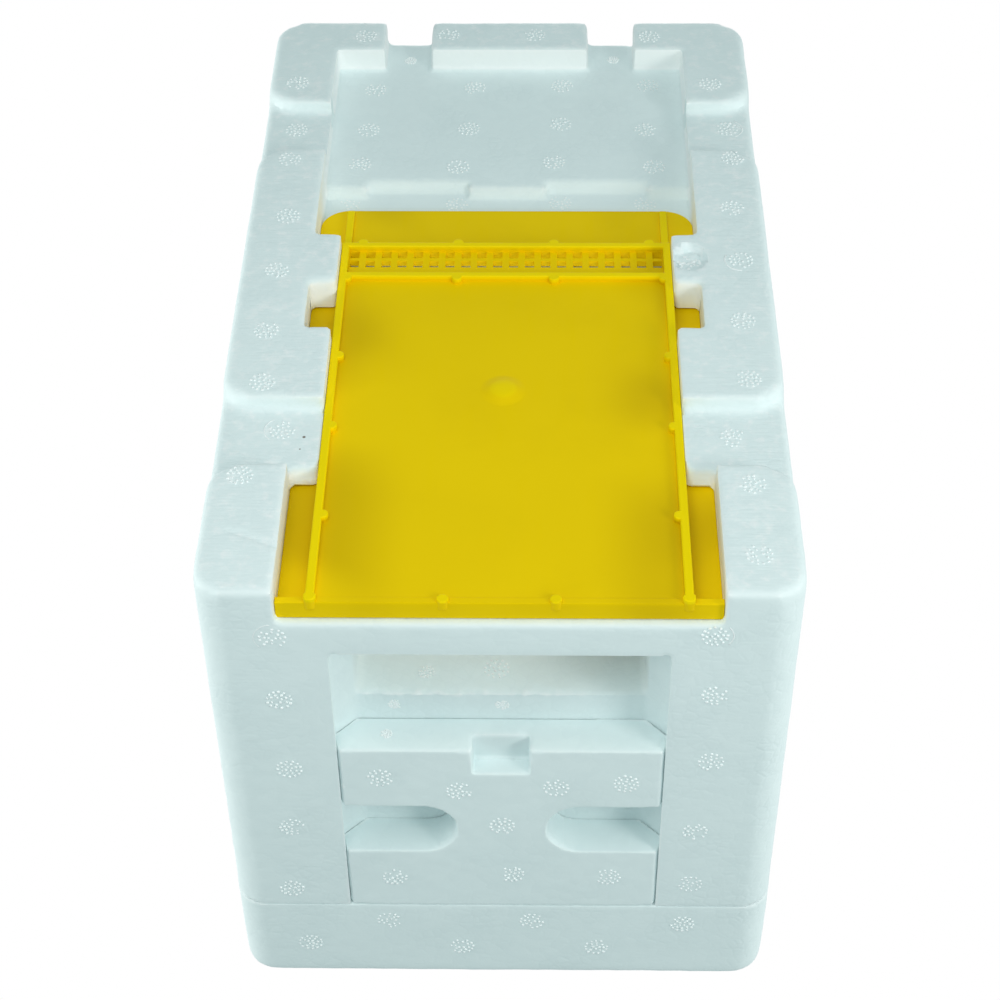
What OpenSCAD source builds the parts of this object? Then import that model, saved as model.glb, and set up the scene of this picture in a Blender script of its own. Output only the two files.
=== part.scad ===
// Mini mating nuc of expanded polystyrene, turned over so that it stands on its roof lid.
// +Z is up as it stands, +Y runs from the entrance end to the closed end, X is across.
// The origin is on the ground under the middle of the box. All lengths are millimetres.

/* [Box] */
// Width over the side walls
box_w = 145; // [140:1:170]
// Length from the entrance end to the closed end
box_l = 247; // [244:1:290]
// Height of the body from its rim to the tops of its feet
body_h = 122.5; // [119:0.5:150]
// Radius of the upright corners
corner_r = 8.5; // [4:0.5:12]
// Height of the roof lid up to the parting line
lid_h = 32; // [28:1:45]

/* [Feet and channel] */
// Length of the pair of feet at the entrance end
front_foot_l = 45; // [30:0.5:46]
// Length of the pair of feet at the closed end
rear_foot_l = 44.3; // [30:0.5:55]
// Length of the cross grooves between the feet
groove_l = 24; // [15:0.5:26]
// Depth of the cross grooves
groove_depth = 4; // [2:0.25:6]
// Width of the channel between the left and the right feet
channel_w = 106; // [104:1:112]
// Depth of the channel below the tops of the feet
channel_depth = 8; // [7:0.25:10]
// Thickness of the end rim that closes the channel
rim_t = 15.7; // [10:0.5:20]
// Width of the two drain notches in that rim
drain_w = 14.2; // [8:0.2:18]
// Distance of each drain notch from the middle
drain_x = 31.3; // [20:0.5:38]

/* [Slide seat] */
// Drop from the channel floor to the seat that the floor slide runs on
seat_drop = 2.7; // [2.2:0.1:4]
// How far the ledges reach in over the edges of the slide
ledge_w = 7.25; // [5:0.25:9]
// Distance of the first ledge from the entrance end
ledge_start = 47; // [46:0.5:52]
// Length of the first ledge
ledge_front_l = 50.5; // [35:0.5:54]
// Gap between the first and the second ledge
ledge_gap = 19.4; // [12:0.1:22]
// Length of the second ledge
ledge_rear_l = 21; // [10:0.1:24]
// Radius of the inner corners of the ledges
ledge_r = 1.25; // [1:0.25:4]
// Width of the middle tab on the edge that stops the slide
tab_w = 22; // [12:1:30]
// Width of the two hollows beside that tab
hollow_w = 30; // [20:1:36]
// How far those hollows cut back behind the tabs
hollow_l = 3.2; // [1:0.2:5]
// Distance of the filling hole from the chamber's end wall
filling_margin = 4; // [2:0.5:10]
// Length of the filling hole in the floor
filling_l = 103; // [80:0.5:104]
// Width of the filling hole in the floor
filling_w = 80; // [60:1:82]

/* [Floor slide] */
// Length of the slide from its lip to its far edge
slide_l = 158.4; // [154:0.1:160]
// How far its lip sits back from the entrance end
slide_inset = 1.8; // [0.5:0.1:4]
// Thickness of the edges that run under the ledges
flange_t = 1.6; // [1:0.1:1.8]
// Height of the middle panel's underside above the underside of the edges
panel_rise = 3.2; // [2.4:0.1:3.4]
// Thickness of the raised middle panel
panel_t = 1.8; // [1.2:0.1:2]
// Thickness of the ribs and of the lip
rib_t = 2; // [1.5:0.1:2.5]
// Height of the ribs above the middle panel
rib_h = 1.8; // [1:0.1:3]
// Height of the side ribs on the tail behind the ventilation grille
tail_rib_h = 1.2; // [0.6:0.1:2]
// How far those side ribs end before the far edge
tail_rib_inset = 1.5; // [0.5:0.1:4]
// Height of the lip above the middle panel
lip_h = 0.3; // [0.2:0.1:1]
// Radius of the two rear corners
wing_r = 8; // [4:0.5:8.5]
// Distance from the lip to the near rib of the grille
grille_start = 121.5; // [110:0.1:124]
// Length of the grille between its two ribs
grille_l = 11.3; // [10.8:0.1:14]
// Number of holes in each of the two rows
hole_count = 20; // [10:1:20]
// Width of one hole
hole_w = 2.5; // [1.5:0.1:3]
// Length of one hole
hole_l = 2.9; // [2:0.1:3]
// Diameter of the round bosses on the ribs
boss_d = 3; // [2.4:0.1:4]
// Diameter of the thumb dome
dome_d = 12; // [6:0.5:16]
// Height of the thumb dome
dome_h = 0.9; // [0.5:0.1:2]

/* [Entrance] */
// Width of the door block at its face
door_w = 81; // [60:1:84]
// Height of the door block
door_h = 65; // [60:0.5:66]
// Thickness of the door block
door_t = 10.6; // [8:0.2:12]
// Extra width on each side behind the face, which keys the door in its recess
door_key = 1.5; // [1:0.1:2.5]
// How far the back corners of the door are cut in from its widest
door_bevel = 5.8; // [3:0.2:7]
// Height of the finger slots in the sides of the door
finger_h = 18.6; // [12:0.2:22]
// Distance between the round ends of the two finger slots
finger_gap = 23; // [14:1:40]
// Lower edge of the finger slots above the foot of the door
finger_up = 23.8; // [12:0.2:30]
// Width of the nail notch in the end of the door
notch_w = 15; // [8:0.5:24]
// Height of the nail notch
notch_h = 9; // [5:0.25:12]
// Depth of the nail notch
notch_depth = 5.7; // [3:0.1:7]
// Height of solid wall between the entrance recess and the tops of the feet
sill_h = 21.5; // [19:0.25:24]
// Height of the bee entrance behind the door
entrance_h = 26.3; // [10:0.25:28]

/* [Chamber] */
// Thickness of the wall at the entrance end
front_wall_t = 26; // [22:0.5:28]
// Thickness of the wall at the closed end
rear_wall_t = 20; // [14:0.5:24]
// Thickness of the floor
floor_t = 12.5; // [9:0.5:16]
// Width of the chamber between its side walls
chamber_w = 104; // [98:1:106]
// Width of the shelf on each side wall that carries the frames
shelf_w = 6; // [5:0.25:7]
// Margin of the cover pocket round the mouth of the chamber
pocket_margin = 4; // [3:0.25:5]
// Depth of the cover pocket
pocket_h = 5; // [4:0.25:7]
// Thickness of the roof of the lid
roof_t = 14; // [10:0.5:20]
// Width of the ring that registers the lid in the pocket
ring_w = 11.5; // [8:0.5:16]
// Thickness of the clear cover sheets
sheet_t = 1; // [0.6:0.1:1.6]

/* [Frames] */
// Distance between neighbouring frames
frame_pitch = 35; // [33:0.5:36]
// Distance of the first frame from the end wall
frame_start = 23; // [20:0.5:24]
// Thickness of a top bar
top_bar_t = 7.5; // [6:0.25:9]
// Width of a top bar
top_bar_w = 22; // [16:0.5:24]
// Thickness of a side bar
side_bar_t = 6; // [4:0.25:7]
// Width of a side bar
side_bar_w = 20; // [14:0.5:22]
// Thickness of a bottom bar
bottom_bar_t = 6; // [4:0.25:8]
// Width of a bottom bar
bottom_bar_w = 12; // [8:0.5:16]
// Bee space round the frames
bee_space = 6; // [5:0.25:8]
// Thickness of a wax starter strip
wax_t = 2; // [1.2:0.1:3]
// Height of wax that hangs below the top bar
wax_h = 20; // [10:1:40]
// Depth of the saw kerf that holds the wax
kerf_depth = 4; // [2:0.25:5]
// Diameter of a frame nail
nail_d = 1.6; // [1.2:0.1:2]
// Length of a nail
nail_l = 18; // [14:0.5:24]

/* [Feeder] */
// Gap between the rear frame's bar and the feeder
feeder_gap = 12.5; // [8:0.5:14]
// Thickness of the feeder's walls
feeder_t = 2; // [1.5:0.1:3]
// Width of the feeder's bee window
window_w = 60; // [30:1:70]
// Height of the feeder's bee window
window_h = 14; // [8:0.5:24]
// Thickness of the queen excluder over that window
excluder_t = 1.6; // [1.2:0.1:2.5]
// Width of the slots in the excluder
slot_w = 4.2; // [4:0.1:4.4]
// Width of the bars between those slots
slot_bar_w = 2.4; // [1.8:0.1:4]
// Diameter of the pegs that hold the excluder
peg_d = 3; // [2:0.25:4]

/* [Hidden] */

// One overrun serves every cut and every buried joint between two shapes of one piece
overrun = 1;
// Clearances
slide_side_gap = 0.3;
slide_seat_gap = 0.2;
slide_ledge_gap = 0.5;
slide_rib_gap = 0.4;
door_gap = 0.4;
door_foot_gap = 0.3;
ring_gap = 0.5;
sheet_gap = 0.2;
bar_gap = 0.5;
feeder_side_gap = 1;
nail_gap = 0.06;
kerf_gap = 0.1;
peg_gap = 0.15;

// Levels
rim_z = lid_h;
top_z = lid_h + body_h;
channel_z = top_z - channel_depth;
seat_z = channel_z - seat_drop;
chamber_z = channel_z - floor_t;
recess_z = top_z - sill_h;
pocket_z = rim_z + pocket_h;
shelf_z = pocket_z + bar_gap + top_bar_t;

// Places along the box
front_y = -box_l / 2;
rear_y = box_l / 2;
front_groove_y = front_y + front_foot_l;
rear_groove_y = rear_y - rear_foot_l - groove_l;
rim_y = rear_y - rim_t;
chamber_front_y = front_y + front_wall_t;
chamber_rear_y = rear_y - rear_wall_t;
filling_y = chamber_front_y + filling_margin;

// Floor slide
slide_w = channel_w - 2 * slide_side_gap;
slide_z = seat_z + slide_seat_gap;
flange_z = slide_z + flange_t;
panel_low_z = slide_z + panel_rise;
panel_z = panel_low_z + panel_t;
rib_z = panel_z + rib_h;
lip_z = panel_z + lip_h;
slide_y = front_y + slide_inset;
slide_rear_y = slide_y + slide_l;
ledge_x = channel_w / 2 - ledge_w;
ledge_z = flange_z + slide_ledge_gap;
rib_x = ledge_x - slide_rib_gap;
panel_w = 2 * (rib_x - rib_t);
near_rib_y = slide_y + grille_start;
grille_y = near_rib_y + rib_t;
far_rib_y = grille_y + grille_l;
hole_margin = 0.3;
hole_pitch = (panel_w - hole_w - 2 * hole_margin) / (hole_count - 1);
hole_row_shares = [0.5, 0.86];
// Places of the bosses, as shares of the panel's half width and of the length up to the grille
cross_boss_shares = [-0.306, 0.306];
far_boss_shares = [-0.915, -0.306, 0.306, 0.915];
side_boss_shares = [0.235, 0.501, 0.728, 1];
dome_share = 0.626;

// The edge that stops the slide, with its sloping face
slide_push = 7.4;
slope_l = seat_drop;
tab_y = slide_rear_y + slide_push + slope_l + slide_seat_gap;
hollow_y = tab_y + hollow_l;

// Door and its recess
door_z = rim_z + door_foot_gap;
door_key_y = door_t / 2;
door_back_w = door_w + 2 * (door_key - door_bevel);
entrance_w = door_back_w + 2 * door_gap;
recess_depth = door_t + door_gap;

// Chamber
mouth_w = chamber_w + 2 * shelf_w;
chamber_l = chamber_rear_y - chamber_front_y;
chamber_mid_y = (chamber_rear_y + chamber_front_y) / 2;
pocket_w = mouth_w + 2 * pocket_margin;
pocket_l = chamber_l + 2 * pocket_margin;
ring_h = pocket_h - sheet_t - sheet_gap;
sheet_z = pocket_z - sheet_t;

// Frames
top_bar_l = mouth_w - 2 * bar_gap;
frame_w = chamber_w - 2 * bee_space;
side_bar_x = frame_w / 2 - side_bar_t;
bottom_bar_z = chamber_z - bee_space - bottom_bar_t;
top_bar_z = shelf_z - top_bar_t;
wax_l = frame_w - 2 * side_bar_t - 2 * bee_space;
frame_ys = [for (i = [0 : 2]) chamber_front_y + frame_start + i * frame_pitch];

// Feeder
feeder_y = frame_ys[2] + top_bar_w / 2 + feeder_gap;
feeder_l = chamber_rear_y - feeder_side_gap - feeder_y;
feeder_w = chamber_w - 2 * feeder_side_gap;
feeder_h = chamber_z - bee_space / 2 - top_bar_z;
feeder_lug_t = 3;
feeder_lug_margin = 8;
window_z = shelf_z + feeder_lug_t;
excluder_margin = 6;
excluder_w = window_w + 2 * (excluder_margin + peg_d);
excluder_h = window_h + 2 * excluder_margin;
peg_x = window_w / 2 + excluder_margin;
slot_count = floor((window_w - slot_bar_w) / (slot_w + slot_bar_w));
sheet_split_y = feeder_y - sheet_gap;

eps_white = [0.93, 0.96, 0.97];
slide_yellow = [0.88, 0.78, 0.0];
clear_tint = [0.85, 0.92, 0.95, 0.4];
frame_wood = [0.80, 0.66, 0.44];
wax_gold = [0.86, 0.66, 0.24];
nail_steel = [0.62, 0.62, 0.64];
round_fn = 48;

// A block between two corners
module block(low, high) {
    translate(low) cube(high - low);
}

// A flat outline with round corners, in the middle of the plan
module round_plan(w, l, r) {
    square([w - 2 * r, l], center = true);
    square([w, l - 2 * r], center = true);
    for (sx = [-1, 1], sy = [-1, 1])
        translate([sx * (w / 2 - r), sy * (l / 2 - r)]) circle(r, $fn = round_fn);
}

// The same shape on both sides of the middle
module both_sides() {
    children();
    mirror([1, 0, 0]) children();
}

// One ledge over the edge of the slide, on the +X side, with round inner corners
module ledge_plan(start, length) {
    translate([ledge_x, start + ledge_r]) square([ledge_w + overrun, length - 2 * ledge_r]);
    translate([ledge_x + ledge_r, start]) square([ledge_w + overrun - ledge_r, length]);
    for (y = [start + ledge_r, start + length - ledge_r])
        translate([ledge_x + ledge_r, y]) circle(ledge_r, $fn = round_fn);
}

// Both ledges of one side; the first one dips with the cross groove
module ledges() {
    first_y = front_y + ledge_start;
    second_y = first_y + ledge_front_l + ledge_gap;
    difference() {
        translate([0, 0, ledge_z]) linear_extrude(top_z - ledge_z) {
            ledge_plan(first_y, ledge_front_l);
            ledge_plan(second_y, ledge_rear_l);
        }
        cross_groove(front_groove_y);
    }
}

// A groove across the feet
module cross_groove(start) {
    block([-box_w / 2 - overrun, start, top_z - groove_depth],
          [box_w / 2 + overrun, start + groove_l, top_z + overrun]);
}

// What rounds the outer corners of two feet beside a groove wall at y, where the feet lie to one side
module foot_corners(y, side) {
    middle_y = y + side * corner_r;
    both_sides() translate([box_w / 2 - corner_r, 0, top_z - groove_depth])
        linear_extrude(groove_depth + overrun) difference() {
            translate([0, side > 0 ? y - overrun : middle_y]) square(corner_r + overrun);
            translate([0, middle_y]) circle(corner_r, $fn = round_fn);
        }
}

// A sloping face at the foot of the stop edge, from x0 to x1, ending at y
module stop_slope(x0, x1, y) {
    translate([x0, y, seat_z]) rotate([90, 0, 90]) linear_extrude(x1 - x0)
        polygon([[-slope_l, 0], [overrun, 0], [overrun, seat_drop], [0, seat_drop]]);
}

// Everything that is cut away from the underside between the feet
module channel_cut() {
    block([-channel_w / 2, tab_y - overrun, channel_z], [channel_w / 2, rim_y, top_z + overrun]);
    block([-channel_w / 2, front_y - overrun, seat_z], [channel_w / 2, tab_y, top_z + overrun]);
    both_sides() block([tab_w / 2, tab_y - overrun, seat_z],
                       [tab_w / 2 + hollow_w, hollow_y, top_z + overrun]);
    both_sides() block([drain_x - drain_w / 2, rim_y - overrun, channel_z],
                       [drain_x + drain_w / 2, rear_y + overrun, top_z + overrun]);
    block([-filling_w / 2, filling_y, chamber_z - overrun],
          [filling_w / 2, filling_y + filling_l, seat_z + overrun]);
}

// The plan of the door: widest in the middle of its thickness, with its back corners cut in
module door_plan(gap, front) {
    face_x = door_w / 2 + gap;
    key_x = face_x + door_key;
    back_x = door_back_w / 2 + gap;
    polygon([[-face_x, -front], [face_x, -front], [face_x, 0], [key_x, door_key_y],
             [back_x, door_t + gap], [-back_x, door_t + gap], [-key_x, door_key_y], [-face_x, 0]]);
}

// The recess that the door slides in, and the bee entrance behind it
module entrance_cut() {
    translate([0, front_y, rim_z - overrun]) linear_extrude(recess_z - rim_z + overrun)
        door_plan(door_gap, overrun);
    block([-entrance_w / 2, front_y + recess_depth - overrun, recess_z - entrance_h],
          [entrance_w / 2, chamber_front_y + overrun, recess_z]);
}

// The chamber, its frame shelves and the pocket for the cover sheets
module chamber_cut() {
    block([-chamber_w / 2, chamber_front_y, rim_z - overrun],
          [chamber_w / 2, chamber_rear_y, chamber_z]);
    block([-mouth_w / 2, chamber_front_y, rim_z - overrun],
          [mouth_w / 2, chamber_rear_y, shelf_z]);
    translate([-pocket_w / 2, chamber_mid_y - pocket_l / 2, rim_z - overrun])
        cube([pocket_w, pocket_l, pocket_h + overrun]);
}

module body_shell() color(eps_white) {
    difference() {
        translate([0, 0, rim_z]) linear_extrude(body_h) round_plan(box_w, box_l, corner_r);
        cross_groove(front_groove_y);
        cross_groove(rear_groove_y);
        foot_corners(front_groove_y, -1);
        foot_corners(front_groove_y + groove_l, 1);
        foot_corners(rear_groove_y, -1);
        foot_corners(rear_groove_y + groove_l, 1);
        channel_cut();
        entrance_cut();
        chamber_cut();
    }
    both_sides() ledges();
    stop_slope(-tab_w / 2, tab_w / 2, tab_y);
    both_sides() stop_slope(tab_w / 2, tab_w / 2 + hollow_w, hollow_y);
    both_sides() stop_slope(tab_w / 2 + hollow_w, channel_w / 2, tab_y);
}

module roof_lid() color(eps_white) difference() {
    union() {
        linear_extrude(lid_h) round_plan(box_w, box_l, corner_r);
        translate([-pocket_w / 2 + ring_gap, chamber_mid_y - pocket_l / 2 + ring_gap, roof_t])
            cube([pocket_w - 2 * ring_gap, pocket_l - 2 * ring_gap, lid_h + ring_h - roof_t]);
    }
    translate([-pocket_w / 2 + ring_w, chamber_mid_y - pocket_l / 2 + ring_w, roof_t])
        cube([pocket_w - 2 * ring_w, pocket_l - 2 * ring_w, lid_h + ring_h - roof_t + overrun]);
}

// The door stands at the lid end of its recess, where it drops when the box is turned over
module entrance_door() color(eps_white) translate([0, front_y, door_z]) difference() {
    linear_extrude(door_h) door_plan(0, 0);
    both_sides() {
        translate([finger_gap / 2 + finger_h / 2, -overrun, finger_up])
            cube([door_w, door_t + 2 * overrun, finger_h]);
        translate([finger_gap / 2 + finger_h / 2, -overrun, finger_up + finger_h / 2])
            rotate([-90, 0, 0]) cylinder(h = door_t + 2 * overrun, d = finger_h, $fn = round_fn);
    }
    block([-notch_w / 2, -overrun, door_h - notch_h], [notch_w / 2, notch_depth, door_h + overrun]);
}

// A round boss up to top, which straddles a rib of the slide
module boss(x, y, top) {
    translate([x, y, panel_low_z]) cylinder(h = top - panel_low_z, d = boss_d, $fn = round_fn);
}

// A low round dome on the panel
module thumb_dome() {
    dome_r = (dome_d * dome_d / 4 + dome_h * dome_h) / (2 * dome_h);
    dome_y = slide_y + dome_share * grille_start;
    intersection() {
        translate([0, dome_y, panel_z + dome_h - dome_r]) sphere(dome_r, $fn = round_fn);
        block([-dome_d, dome_y - dome_d, panel_z - panel_t / 2],
              [dome_d, dome_y + dome_d, panel_z + 2 * dome_h]);
    }
}

// The thin sheet of the slide: the edges under the ledges, and the tail with its round corners
module slide_sheet() {
    translate([0, 0, slide_z]) linear_extrude(flange_t) difference() {
        union() {
            translate([-slide_w / 2, slide_y]) square([slide_w, slide_l - wing_r]);
            translate([-slide_w / 2 + wing_r, slide_y]) square([slide_w - 2 * wing_r, slide_l]);
            for (sx = [-1, 1])
                translate([sx * (slide_w / 2 - wing_r), slide_rear_y - wing_r])
                    circle(wing_r, $fn = round_fn);
        }
        translate([-panel_w / 2, slide_y - overrun])
            square([panel_w, far_rib_y - slide_y + overrun]);
    }
}

module slide_ribs() {
    both_sides() {
        block([panel_w / 2, slide_y, slide_z], [rib_x, far_rib_y + rib_t, rib_z]);
        block([panel_w / 2, far_rib_y, slide_z], [rib_x, slide_rear_y - tail_rib_inset, flange_z + tail_rib_h]);
    }
    block([-rib_x, near_rib_y, panel_low_z], [rib_x, near_rib_y + rib_t, rib_z]);
    block([-rib_x, far_rib_y, slide_z], [rib_x, far_rib_y + rib_t, rib_z]);
    block([-slide_w / 2, slide_y, slide_z], [slide_w / 2, slide_y + rib_t, lip_z]);
}

module slide_bosses() {
    for (share = cross_boss_shares) {
        boss(share * panel_w / 2, slide_y + rib_t / 2, (lip_z + rib_z) / 2);
        boss(share * panel_w / 2, near_rib_y, rib_z);
    }
    for (share = far_boss_shares) boss(share * panel_w / 2, far_rib_y + rib_t, rib_z);
    both_sides() {
        for (share = side_boss_shares) boss(panel_w / 2, slide_y + share * grille_start, rib_z);
        boss(rib_x - rib_t / 2, slide_y + rib_t / 2, rib_z);
    }
}

module floor_slide() color(slide_yellow) difference() {
    union() {
        slide_sheet();
        block([-rib_x, slide_y, panel_low_z], [rib_x, far_rib_y + rib_t, panel_z]);
        slide_ribs();
        slide_bosses();
        thumb_dome();
    }
    for (i = [0 : hole_count - 1], share = hole_row_shares)
        translate([(i - (hole_count - 1) / 2) * hole_pitch, grille_y + share * grille_l, panel_low_z])
            translate([-hole_w / 2, -hole_l / 2, -overrun])
                cube([hole_w, hole_l, panel_t + 2 * overrun]);
}

// The feeder hangs on the shelves by a lug along each side, with its mouth towards the lid
module feeder_tub() color(slide_yellow) {
    difference() {
        translate([-feeder_w / 2, feeder_y, top_bar_z]) cube([feeder_w, feeder_l, feeder_h]);
        translate([-feeder_w / 2 + feeder_t, feeder_y + feeder_t, top_bar_z - overrun])
            cube([feeder_w - 2 * feeder_t, feeder_l - 2 * feeder_t, feeder_h - feeder_t + overrun]);
        translate([-window_w / 2, feeder_y - overrun, window_z])
            cube([window_w, feeder_t + 2 * overrun, window_h]);
    }
    both_sides() block([feeder_w / 2 - feeder_t, feeder_y + feeder_lug_margin, shelf_z - feeder_lug_t],
                       [mouth_w / 2 - bar_gap, feeder_y + feeder_l - feeder_lug_margin, shelf_z]);
    both_sides() translate([peg_x, feeder_y + feeder_t / 2, window_z + window_h / 2])
        rotate([90, 0, 0])
            cylinder(h = feeder_t / 2 + excluder_t + peg_d / 2, d = peg_d, $fn = round_fn);
}

// A slotted plate over the bee window, pressed on two pegs
module feeder_excluder() color(slide_yellow) difference() {
    translate([-excluder_w / 2, feeder_y - excluder_t, window_z - excluder_margin])
        cube([excluder_w, excluder_t, excluder_h]);
    for (i = [0 : slot_count - 1])
        translate([(i - (slot_count - 1) / 2) * (slot_w + slot_bar_w) - slot_w / 2,
                   feeder_y - excluder_t - overrun, window_z])
            cube([slot_w, excluder_t + 2 * overrun, window_h]);
    both_sides() translate([peg_x, feeder_y + overrun, window_z + window_h / 2])
        rotate([90, 0, 0])
            cylinder(h = excluder_t + 2 * overrun, d = peg_d + 2 * peg_gap, $fn = round_fn);
}

// A clear sheet over the mouth of the chamber, from y0 to y1
module cover_sheet(y0, y1) {
    color(clear_tint) block([-pocket_w / 2 + ring_gap, y0, sheet_z],
                            [pocket_w / 2 - ring_gap, y1, pocket_z]);
}

module frame_cover_sheet() {
    cover_sheet(chamber_front_y - pocket_margin + ring_gap, sheet_split_y - sheet_gap);
}

module feeder_cover_sheet() {
    cover_sheet(sheet_split_y, chamber_rear_y + pocket_margin - ring_gap);
}

// The four nail places of a frame at y, spread by extra on the radius
module nails(y, extra) {
    both_sides() {
        translate([side_bar_x + side_bar_t / 2, y, top_bar_z])
            cylinder(h = nail_l + extra, d = nail_d + 2 * extra, $fn = round_fn);
        translate([side_bar_x + side_bar_t / 2, y, bottom_bar_z + bottom_bar_t - nail_l - extra])
            cylinder(h = nail_l + extra, d = nail_d + 2 * extra, $fn = round_fn);
    }
}

// Top bar with a saw kerf for the wax and its nail holes
module top_bar(y) {
    color(frame_wood) difference() {
        translate([-top_bar_l / 2, y - top_bar_w / 2, top_bar_z])
            cube([top_bar_l, top_bar_w, top_bar_t]);
        translate([-wax_l / 2 - kerf_gap, y - wax_t / 2 - kerf_gap, shelf_z - kerf_depth])
            cube([wax_l + 2 * kerf_gap, wax_t + 2 * kerf_gap, kerf_depth + overrun]);
        nails(y, nail_gap);
    }
}

module side_bars(y) {
    color(frame_wood) difference() {
        both_sides() block([side_bar_x, y - side_bar_w / 2, shelf_z],
                           [side_bar_x + side_bar_t, y + side_bar_w / 2, bottom_bar_z]);
        nails(y, nail_gap);
    }
}

module bottom_bar(y) {
    color(frame_wood) difference() {
        translate([-frame_w / 2, y - bottom_bar_w / 2, bottom_bar_z])
            cube([frame_w, bottom_bar_w, bottom_bar_t]);
        nails(y, nail_gap);
    }
}

module wax_strip(y) {
    color(wax_gold) translate([-wax_l / 2, y - wax_t / 2, shelf_z - kerf_depth])
        cube([wax_l, wax_t, kerf_depth + wax_h]);
}

module frame_nails() {
    color(nail_steel) for (y = frame_ys) nails(y, 0);
}

body_shell();
roof_lid();
entrance_door();
floor_slide();
feeder_tub();
feeder_excluder();
frame_cover_sheet();
feeder_cover_sheet();
top_bar(frame_ys[0]);  // top_bar_front
top_bar(frame_ys[1]);  // top_bar_middle
top_bar(frame_ys[2]);  // top_bar_rear
side_bars(frame_ys[0]);  // side_bars_front
side_bars(frame_ys[1]);  // side_bars_middle
side_bars(frame_ys[2]);  // side_bars_rear
bottom_bar(frame_ys[0]);  // bottom_bar_front
bottom_bar(frame_ys[1]);  // bottom_bar_middle
bottom_bar(frame_ys[2]);  // bottom_bar_rear
wax_strip(frame_ys[0]);  // wax_strip_front
wax_strip(frame_ys[1]);  // wax_strip_middle
wax_strip(frame_ys[2]);  // wax_strip_rear
frame_nails();
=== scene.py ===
# %% [markdown]
# This lesson dresses a small foam mating hive, a nuc box, that stands turned over on its roof lid.
# The imported solids are the fixed frame: they give every place and size, in metres, and the looks are
# built around them. The box that the solids fill is kept first, and some measures below are taken from it.

import math
import random

import bmesh
import bpy
import numpy as np
from mathutils import Matrix, Vector, noise


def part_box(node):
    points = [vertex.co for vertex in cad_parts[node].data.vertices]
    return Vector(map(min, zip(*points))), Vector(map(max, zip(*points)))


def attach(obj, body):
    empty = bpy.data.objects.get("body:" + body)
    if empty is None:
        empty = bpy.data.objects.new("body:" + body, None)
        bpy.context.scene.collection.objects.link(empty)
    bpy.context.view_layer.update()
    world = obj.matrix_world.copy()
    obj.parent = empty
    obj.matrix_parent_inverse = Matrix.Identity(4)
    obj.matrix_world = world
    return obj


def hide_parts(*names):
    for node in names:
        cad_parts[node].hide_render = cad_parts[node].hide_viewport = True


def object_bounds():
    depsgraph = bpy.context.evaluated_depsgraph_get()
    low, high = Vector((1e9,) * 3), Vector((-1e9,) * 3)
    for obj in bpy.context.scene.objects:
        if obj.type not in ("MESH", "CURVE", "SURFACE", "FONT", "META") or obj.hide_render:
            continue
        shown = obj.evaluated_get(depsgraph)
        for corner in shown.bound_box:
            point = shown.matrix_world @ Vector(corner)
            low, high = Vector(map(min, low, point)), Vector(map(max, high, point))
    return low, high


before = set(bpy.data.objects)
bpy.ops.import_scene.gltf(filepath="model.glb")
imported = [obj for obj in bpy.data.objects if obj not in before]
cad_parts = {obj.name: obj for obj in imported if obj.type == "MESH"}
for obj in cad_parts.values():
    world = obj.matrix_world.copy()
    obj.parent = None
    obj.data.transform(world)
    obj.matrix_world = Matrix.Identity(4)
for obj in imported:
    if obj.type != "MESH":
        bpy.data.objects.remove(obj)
cad_low, cad_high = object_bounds()
scene = bpy.context.scene
MM = 0.001

# %% [markdown]
# The photo was taken from in front of the entrance end, a little to the right, looking down at about
# 44 degrees through a long lens. A tracking constraint would do, but writing the three axes out also
# gives the slight roll of a hand-held shot.

# %% Camera
CAMERA_PLACE = Vector((0.0081, -0.4743, 0.5236))
CAMERA_TURN = math.radians(-1.24)
CAMERA_DROP = math.radians(44.0)
CAMERA_ROLL = math.radians(-0.65)
LENS_MM = 78.95
SENSOR_MM = 36.0

ahead = Vector((math.sin(CAMERA_TURN) * math.cos(CAMERA_DROP),
                math.cos(CAMERA_TURN) * math.cos(CAMERA_DROP),
                -math.sin(CAMERA_DROP)))
level = Vector((math.cos(CAMERA_TURN), -math.sin(CAMERA_TURN), 0))
above = level.cross(ahead)
across = level * math.cos(CAMERA_ROLL) + above * math.sin(CAMERA_ROLL)
upward = above * math.cos(CAMERA_ROLL) - level * math.sin(CAMERA_ROLL)
lens = bpy.data.cameras.new("photo_lens")
lens.lens = LENS_MM
lens.sensor_width = SENSOR_MM
camera = bpy.data.objects.new("photo_camera", lens)
camera.matrix_world = Matrix((across, upward, -ahead)).transposed().to_4x4()
camera.location = CAMERA_PLACE
scene.collection.objects.link(camera)
scene.camera = camera
print("camera", [round(x, 3) for x in camera.location])

# %% [markdown]
# Foam is lit like plaster in a light tent. A cool sky gives most of the light, one near lamp from the
# right draws the shaded walls of the cavities, and two weak ones overhead lift the feet. Low lamps at
# the sides and behind make the outer edges pale without touching the top, as bright surroundings do in
# the photo. The thin yellow slide lets some daylight through, so two small lamps inside brighten the
# bee entrance and the holes of the grille from behind. The sky is pure white to the eye only, through
# the light path. The photo shows no floor and no shadow, so none is made, and the lid stays in sight
# when it is taken off downwards.

# %% Lamps and sky
AIM = Vector((0, -0.02, 0.10))
FULL_LEVEL = math.pi * math.pi
WARM = (1.0, 0.985, 0.96)
FAINTLY_WARM = (1.0, 0.99, 0.97)
LOW_WARM = (1.0, 0.975, 0.955)
THROUGH_YELLOW = (1.0, 1.0, 0.93)
THROUGH_HOLES = (0.88, 1.0, 0.9)
SKY_TINT = (0.79, 0.99, 1.0, 1)
SKY_LEVEL = 0.405


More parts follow.
